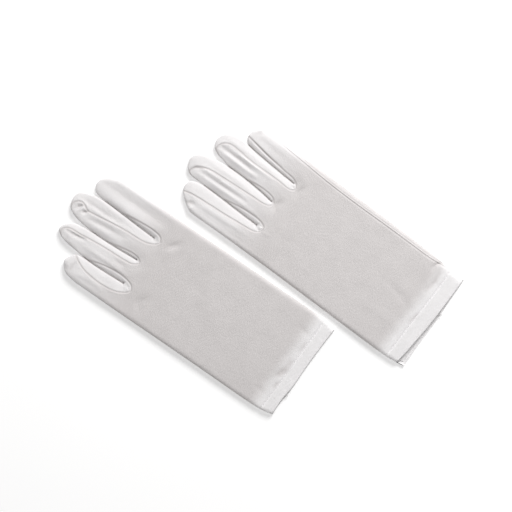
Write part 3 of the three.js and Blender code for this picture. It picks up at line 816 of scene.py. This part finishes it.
def knit(name, plain, painted_light, relief):
    """Fine stretch knit: lengthwise wales, uneven crosswise yarn, a faint unevenness of tone, and painted
    light and shade from the mesh's attribute.
    """
    material = bpy.data.materials.new(name)
    material.use_nodes = True
    nodes, links = material.node_tree.nodes, material.node_tree.links
    shader = nodes["Principled BSDF"]
    shader.inputs["Roughness"].default_value = 0.88
    shader.inputs["Specular IOR Level"].default_value = 0.25
    shader.inputs["Sheen Weight"].default_value = 0.25
    shader.inputs["Sheen Roughness"].default_value = 0.45
    flat = nodes.new("ShaderNodeUVMap")
    flat.uv_map = "Cloth"

    def stretched(scale, kind, size, detail=2.0):
        mapping = nodes.new("ShaderNodeMapping")
        mapping.inputs["Scale"].default_value = scale
        links.new(flat.outputs["UV"], mapping.inputs["Vector"])
        texture = nodes.new(kind)
        texture.inputs["Scale"].default_value = size
        texture.inputs["Detail"].default_value = detail
        links.new(mapping.outputs["Vector"], texture.inputs["Vector"])
        return texture

    slub = stretched((0.36, 1.3, 1), "ShaderNodeTexNoise", 118, 3.0)
    yarn = stretched((1.6, 1.0, 1), "ShaderNodeTexNoise", 260, 2.0)
    wales = stretched((1, 0.02, 1), "ShaderNodeTexWave", 62, 0.0)
    tone = stretched((1, 1, 1), "ShaderNodeTexNoise", 9, 3.0)

    def mixed(a, b, factor):
        mix = nodes.new("ShaderNodeMix")
        mix.data_type = "FLOAT"
        mix.inputs["Factor"].default_value = factor
        links.new(a, mix.inputs["A"])
        links.new(b, mix.inputs["B"])
        return mix.outputs["Result"]

    height = mixed(slub.outputs["Fac"], yarn.outputs["Fac"], 0.2)
    height = mixed(height, wales.outputs["Fac"], 0.12)
    bump = nodes.new("ShaderNodeBump")
    bump.inputs["Strength"].default_value = relief
    bump.inputs["Distance"].default_value = 0.0006
    links.new(height, bump.inputs["Height"])
    links.new(bump.outputs["Normal"], shader.inputs["Normal"])
    unevenness = mixed(tone.outputs["Fac"], height, 0.4)

    def toned(colour):
        ramp = nodes.new("ShaderNodeValToRGB")
        for element, place, share in zip(ramp.color_ramp.elements, (0.3, 0.7), (0.95, 1.03)):
            element.position = place
            element.color = (*(share * part for part in colour), 1)
        links.new(unevenness, ramp.inputs["Fac"])
        return ramp.outputs["Color"]

    # Painted light and shade: the attribute mixes the plain knit's colour towards the painted-light one.
    painted_light_and_shade = nodes.new("ShaderNodeAttribute")
    painted_light_and_shade.attribute_name = "PaintedLightAndShade"
    mix = nodes.new("ShaderNodeMix")
    mix.data_type = "RGBA"
    links.new(painted_light_and_shade.outputs["Fac"], mix.inputs["Factor"])
    links.new(toned(plain), mix.inputs[6])
    links.new(toned(painted_light), mix.inputs[7])
    links.new(mix.outputs[2], shader.inputs["Base Color"])
    return material


def sewing_thread():
    """Twisted white thread."""
    material = bpy.data.materials.new("sewing_thread")
    material.use_nodes = True
    nodes, links = material.node_tree.nodes, material.node_tree.links
    shader = nodes["Principled BSDF"]
    shader.inputs["Roughness"].default_value = 0.6
    shader.inputs["Sheen Weight"].default_value = 0.2
    place = nodes.new("ShaderNodeTexCoord")
    twist = nodes.new("ShaderNodeTexWave")
    twist.bands_direction = "DIAGONAL"
    twist.inputs["Scale"].default_value = 1500
    links.new(place.outputs["Object"], twist.inputs["Vector"])
    ramp = nodes.new("ShaderNodeValToRGB")
    ramp.color_ramp.elements[0].color = (0.62, 0.6, 0.6, 1)
    ramp.color_ramp.elements[1].color = (0.8, 0.79, 0.79, 1)
    links.new(twist.outputs["Fac"], ramp.inputs["Fac"])
    links.new(ramp.outputs["Color"], shader.inputs["Base Color"])
    bump = nodes.new("ShaderNodeBump")
    bump.inputs["Strength"].default_value = 0.5
    bump.inputs["Distance"].default_value = 0.0001
    links.new(twist.outputs["Fac"], bump.inputs["Height"])
    links.new(bump.outputs["Normal"], shader.inputs["Normal"])
    return material


# ---- Camera, light and floor ----

def look_down(picture_centre, across, turn):
    """A long lens straight above the table, turned so that the gloves run diagonally."""
    data = bpy.data.cameras.new("camera")
    data.lens = 85
    data.sensor_width = 36
    camera = bpy.data.objects.new("camera", data)
    distance = across / 2 * data.lens / (data.sensor_width / 2)
    camera.location = (*picture_centre, distance)
    camera.rotation_euler = (0, 0, math.radians(turn))
    data.clip_end = 10
    bpy.context.scene.collection.objects.link(camera)
    bpy.context.scene.camera = camera


def softbox(name, direction, distance, size, power):
    data = bpy.data.lights.new(name, "AREA")
    data.shape = "DISK"
    data.size = size
    data.energy = power
    light = bpy.data.objects.new(name, data)
    toward = Vector(direction).normalized()
    light.location = toward * distance
    light.rotation_mode = "QUATERNION"
    light.rotation_quaternion = toward.to_track_quat("Z", "Y")
    bpy.context.scene.collection.objects.link(light)


def set_stage():
    world = bpy.data.worlds.new("room")
    world.use_nodes = True
    world.node_tree.nodes["Background"].inputs["Color"].default_value = (1, 0.99, 0.985, 1)
    world.node_tree.nodes["Background"].inputs["Strength"].default_value = 0.39
    bpy.context.scene.world = world
    bpy.context.scene.view_settings.view_transform = "Standard"
    softbox("key", (0.78, 0.13, 0.61), 1.4, 0.75, 18.5)
    floor_mesh = bpy.data.meshes.new("floor")
    half = 3.0
    corners = [(-half, -half, 0), (half, -half, 0), (half, half, 0), (-half, half, 0)]
    floor_mesh.from_pydata(corners, [], [(0, 1, 2, 3)])
    floor = bpy.data.objects.new("floor", floor_mesh)
    floor.location.z = -0.0001
    bpy.context.scene.collection.objects.link(floor)
    paper = bpy.data.materials.new("paper")
    paper.use_nodes = True
    shader = paper.node_tree.nodes["Principled BSDF"]
    shader.inputs["Base Color"].default_value = (0.82, 0.82, 0.82, 1)
    shader.inputs["Roughness"].default_value = 0.9
    shader.inputs["Emission Color"].default_value = (1, 1, 1, 1)
    shader.inputs["Emission Strength"].default_value = 0.34
    floor_mesh.materials.append(paper)


# ---- Pieces ----

def joint_named(frame, name):
    return next(j for j in frame["joints"] if j["name"] == name)


def place_glove(frame, glove):
    """The glove's own origin in the row frame, in millimetres, from its hinge line and its back."""
    hinge = joint_named(frame, f"{glove['side']}_{glove['fingers'][0]}_fold")
    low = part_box(f"{glove['side']}_trank_back")[0]
    x = low.x / MM - glove["edge_x"]
    y = hinge["pos_m"][1] / MM - 0.2 - glove["fold"]
    glove["origin"] = np.array([x, y, 0.0])
    glove["hinge"] = hinge["pos_m"]


def bend_with(piece):
    """Bakes the piece's placement into its mesh."""
    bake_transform(piece)


def finish_piece(nodes):
    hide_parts(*nodes)


def declare_fourchette(piece, flat, scraps):
    """A fourchette's cloth less than a scrap across or long joins the list it is given."""
    if min(flat) < SCRAP:
        scraps.append(piece)


def cut_hand(surface, cloth, hem):
    plan = surface.plan
    side = plan.side
    on_hand = plan.finger < 0
    trank = on_hand & (plan.fourchette < 0)
    back, palm = trank & plan.on_back, trank & plan.on_palm
    piece = surface.piece(f"{side}_trank_hand", back, palm, (0, CLOTH), cloth)
    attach(piece, f"{side}_hand")
    nodes = [f"{side}_{part}" for part in ("trank_back", "trank_palm", "side_seam_thread")]
    finish_piece(nodes)
    fingers = plan.glove["fingers"]
    on_it = list(hem)
    for k, pair in enumerate(zip(fingers, fingers[1:])):
        name = f"{side}_fourchette_{pair[0]}_{pair[1]}"
        chosen = on_hand & (plan.fourchette == k)
        base = surface.piece(f"{name}_cloth", chosen, chosen, (0, CLOTH), cloth)
        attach(base, f"{side}_hand")
        finish_piece([name])
        declare_fourchette(base, cut_size(plan, chosen, chosen), on_it)


def cut_hem(surface, cloth):
    plan = surface.plan
    side = plan.side
    within = plan.in_hem
    cuff = surface.cuff_distance
    back_clear = cuff[surface.back_faces].min(1) > HEM_CLEAR[0]
    palm_clear = cuff[surface.palm_faces].min(1) > HEM_CLEAR[0]
    nothing = np.zeros(len(plan.faces), bool)
    edge_distance = nearest(plan.points, plan.edge)[0][plan.faces].min(1)
    clear = edge_distance > HEM_CLEAR[1]
    on_back = within & back_clear & plan.on_back & clear
    on_palm = within & palm_clear & clear
    back = surface.piece(f"{side}_hem_back", on_back, nothing, HEM_PLY, cloth)
    palm = surface.piece(f"{side}_hem_palm", nothing, on_palm, HEM_PLY, cloth)
    for piece, node in ((back, "hem_back_ply"), (palm, "hem_palm_ply")):
        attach(piece, f"{side}_hand")
        finish_piece([f"{side}_{node}"])
    return [back, palm]


def cut_fingers(surface, cloth):
    plan = surface.plan
    side = plan.side
    fingers = plan.glove["fingers"]
    for k, finger in enumerate(fingers):
        mine = plan.finger == k
        trank = mine & (plan.fourchette < 0)
        piece = surface.piece(f"{side}_{finger}_trank", trank, trank, (0, CLOTH), cloth)
        bend_with(piece)
        finish_piece([f"{side}_{finger}_back", f"{side}_{finger}_palm"])
        on_it = []
        for other in (k - 1, k + 1):
            if not 0 <= other < len(fingers):
                continue
            node = f"{side}_{finger}_prong_by_{fingers[other]}"
            chosen = mine & (plan.fourchette == min(k, other))
            prong = surface.piece(f"{node}_cloth", chosen, chosen, (0, CLOTH), cloth)
            bend_with(prong)
            finish_piece([node])
            declare_fourchette(prong, cut_size(plan, chosen, chosen), on_it)


def thumb_rings(rows=64, around=44):
    """The thumb's closed skin in its own frame: flat rings along it, both of its ends rounded."""
    rings = []
    for k in range(rows):
        t = (1 - math.cos(math.pi * k / (rows - 1))) / 2
        y = THUMB_LENGTH * t
        past_tip = np.clip((y - THUMB_LENGTH + THUMB_TIP) / THUMB_TIP, 0, 0.999)
        past_base = np.clip((THUMB_ROOT - y) / THUMB_ROOT, 0, 0.999)
        narrowing = math.sqrt((1 - past_tip**2) * (1 - past_base**2.2))
        half = (THUMB_BASE + (THUMB_END - THUMB_BASE) * t) / 2 * narrowing
        thickness = THUMB_TOP / 2 * (1 - past_tip**4) ** 0.5 * (1 - past_base**6) ** 0.5
        angles = np.linspace(0, 2 * math.pi, around, endpoint=False)
        c, s = np.cos(angles), np.sin(angles)
        x = half * np.sign(c) * np.abs(c) ** 0.7
        seam = THUMB_SEAM * np.exp(-(((half - np.abs(x)) - 1.6) / 0.6) ** 2) * (half > 3)
        z = THUMB_TOP / 2 + (thickness - seam) * np.sign(s) * np.abs(s) ** 0.55
        rings.append(np.column_stack([x, np.full(around, y), z]))
    return np.array(rings)


def add_thumb(glove, cloth):
    """The thumb lies under the palm: a closed skin with its lining, in one piece."""
    side = glove["side"]
    rings = thumb_rings()
    rows, around, _ = rings.shape
    vertices = rings.reshape(-1, 3)
    flat = vertices[:, :2].copy()
    place = turned(vertices[:, :2], glove["thumb"]["tilt"]) + glove["thumb"]["base"]
    vertices = np.column_stack([place, vertices[:, 2] + THUMB_FLOOR])
    outside = ring_faces(rows, around, 0)
    lining = [tuple(k + len(vertices) for k in reversed(face)) for face in outside]
    middle = vertices.reshape(rows, around, 3).mean(1).repeat(around, axis=0)
    inner = vertices + (middle - vertices) * np.array([THUMB_LINING, THUMB_LINING, 2 * CLOTH / THUMB_TOP])
    vertices, flat = np.vstack([vertices, inner]), np.vstack([flat, flat])
    thumb = make_mesh(f"{side}_thumb_cloth", vertices, outside + lining, flat, glove, cloth)
    marks = turned(np.array([(0, THUMB_ROOT), (0, THUMB_BEND)], float), glove["thumb"]["tilt"])
    marks += glove["thumb"]["base"] + glove["origin"][:2]
    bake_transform(thumb)
    finish_piece([f"{side}_thumb_under", f"{side}_thumb_over"])


def capsule_rows(path, radius, around=8):
    """Rings round a short path, closing to a point at each end."""
    count = len(path)
    rings = []
    for k, centre in enumerate(path):
        ahead = path[min(k + 1, count - 1)] - path[max(k - 1, 0)]
        ahead /= np.linalg.norm(ahead)
        across = np.cross(ahead, (0, 0, 1))
        across /= np.linalg.norm(across)
        up = np.cross(across, ahead)
        size = radius * math.sqrt(max(0.02, 1 - abs(2 * k / (count - 1) - 1) ** 6))
        angles = np.linspace(0, 2 * math.pi, around, endpoint=False)
        rings.append(centre + size * (np.cos(angles)[:, None] * across + np.sin(angles)[:, None] * up))
    return np.array(rings)


def ring_faces(rows, around, first):
    faces = [
        (first + r * around + k, first + r * around + (k + 1) % around,
         first + (r + 1) * around + (k + 1) % around, first + (r + 1) * around + k)
        for r in range(rows - 1) for k in range(around)
    ]
    faces.append(tuple(first + k for k in reversed(range(around))))
    faces.append(tuple(first + (rows - 1) * around + k for k in range(around)))
    return faces


def add_thread(name, glove, paths, thread, node):
    vertices, faces = [], []
    for path in paths:
        rings = capsule_rows(np.array(path, float), THREAD_RADIUS)
        faces += ring_faces(*rings.shape[:2], sum(len(v) for v in vertices))
        vertices.append(rings.reshape(-1, 3))
    vertices = np.vstack(vertices)
    piece = make_mesh(name, vertices, faces, vertices[:, :2], glove, thread)
    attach(piece, f"{glove['side']}_hand")
    finish_piece([node])
    return piece


def add_hem_stitches(surface, thread):
    """The hem's stitches, one by one, on the back and on the palm."""
    plan = surface.plan
    side = plan.side
    line = plan.hem_line
    lengths = np.concatenate([[0], np.cumsum(np.linalg.norm(np.diff(line, axis=0), axis=1))])
    low, high = plan.edge[:, 0].min() + STITCH_INSET, plan.edge[:, 0].max() - STITCH_INSET
    arch = np.sin(np.linspace(0, math.pi, 6))
    paths = []
    for start in np.arange(2.0, lengths[-1] - 2, STITCH_STEP):
        s = start + np.linspace(0, STITCH, 6)
        x, y = np.interp(s, lengths, line[:, 0]), np.interp(s, lengths, line[:, 1])
        if x.min() < low or x.max() > high:
            continue
        spot = np.linalg.norm(plan.points - (x[2], y[2]), axis=1).argmin()
        back, palm = surface.vertices[spot, 2], surface.vertices[surface.mate[spot], 2]
        paths.append(np.column_stack([x, y, back + 0.1 + 0.08 * arch]))
        paths.append(np.column_stack([x, y, palm - 0.05 - 0.08 * arch]))
    return add_thread(f"{side}_hem_stitches", plan.glove, paths, thread, f"{side}_hem_thread")


def add_tail(glove, thread):
    """Three loose strands at the cuff. Each point is (sideways, y, z) from the tail's place."""
    strands = (
        ((0, 2.2, 2.5), (-0.2, 1.0, 2.5), (-0.5, 0.1, 2.3), (-0.9, -0.7, 2.1), (-1.1, -1.2, 1.9)),
        ((0, 2.2, 2.6), (0.1, 1.0, 2.7), (0.2, 0.2, 2.5), (0.1, -0.5, 2.1), (0.3, -1.1, 1.7)),
        ((0.1, 2.0, 2.5), (0.4, 0.9, 2.5), (0.6, 0.2, 2.4), (0.5, -0.4, 2.3), (0.8, -0.8, 2.1)),
    )
    side = glove["side"]
    paths = [spline(strand, 0.25) + (glove["tail"], 0, 0) for strand in strands]
    add_thread(f"{side}_thread_tail_strands", glove, paths, thread, f"{side}_thread_tail")


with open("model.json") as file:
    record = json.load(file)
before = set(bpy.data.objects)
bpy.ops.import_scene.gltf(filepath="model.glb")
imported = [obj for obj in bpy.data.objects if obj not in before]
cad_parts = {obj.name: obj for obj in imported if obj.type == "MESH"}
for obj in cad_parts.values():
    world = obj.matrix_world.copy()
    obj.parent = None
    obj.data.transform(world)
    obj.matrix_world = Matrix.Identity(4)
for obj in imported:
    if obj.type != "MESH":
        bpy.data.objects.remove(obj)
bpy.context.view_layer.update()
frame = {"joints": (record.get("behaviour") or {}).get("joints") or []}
look_down(PICTURE_CENTRE, PICTURE_WIDTH, PICTURE_TURN)
set_stage()
KNIT = knit("stretch_knit", PLAIN_KNIT, PAINTED_LIGHT_KNIT, KNIT_RELIEF)
THREAD = sewing_thread()
for glove in (LEFT, RIGHT):
    place_glove(frame, glove)
    surface = Surface(Plan(glove))
    add_thumb(glove, KNIT)
    hem = cut_hem(surface, KNIT)
    hem.append(add_hem_stitches(surface, THREAD))
    cut_hand(surface, KNIT, hem)
    cut_fingers(surface, KNIT)
    add_tail(glove, THREAD)
